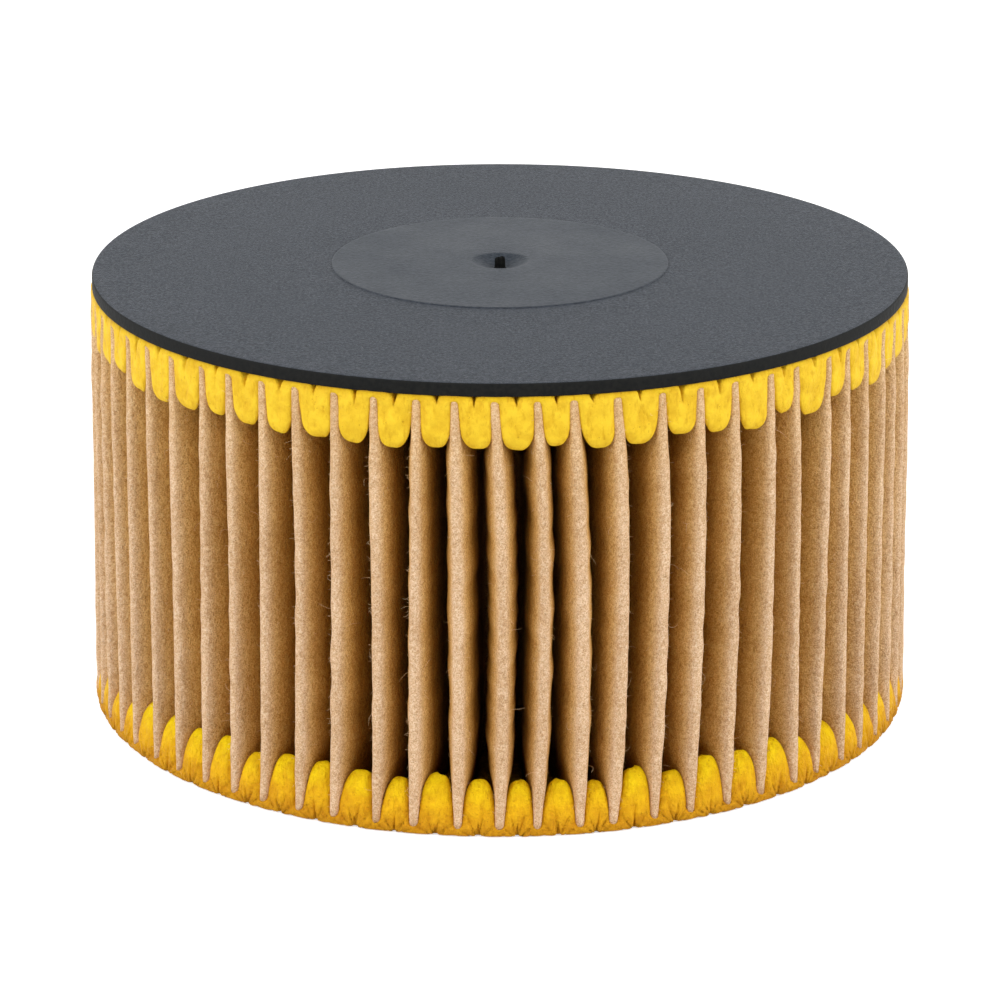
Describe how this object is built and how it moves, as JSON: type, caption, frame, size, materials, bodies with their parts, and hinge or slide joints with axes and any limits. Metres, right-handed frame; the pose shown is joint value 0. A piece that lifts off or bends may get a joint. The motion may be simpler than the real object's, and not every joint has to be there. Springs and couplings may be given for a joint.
{
  "type": "pleated filter element",
  "caption": "Round pleated filter element: folded web between poured seal beads, closed by a flat moulded end cap, open bore at the other end.",
  "frame": {"origin": "centre of the element's underside, on the lower seal bead's plane", "axes": "+Z along the element's axis from the open end to the end cap; a ridge of the folded web faces -Y"},
  "size_m": [0.1306, 0.1308, 0.0706],
  "materials": {
    "cap_moulding": "fine grain, matt",
    "filter_media": "felted, matt",
    "seal_compound": "smooth, satin",
    "core_moulding": "matt"
  },
  "bodies": {
    "root": {"end_cap": "cap_moulding", "filter_pleats": "filter_media", "upper_seal_bead": "seal_compound", "lower_seal_bead": "seal_compound", "support_core": "core_moulding"}
  },
  "joints": []
}
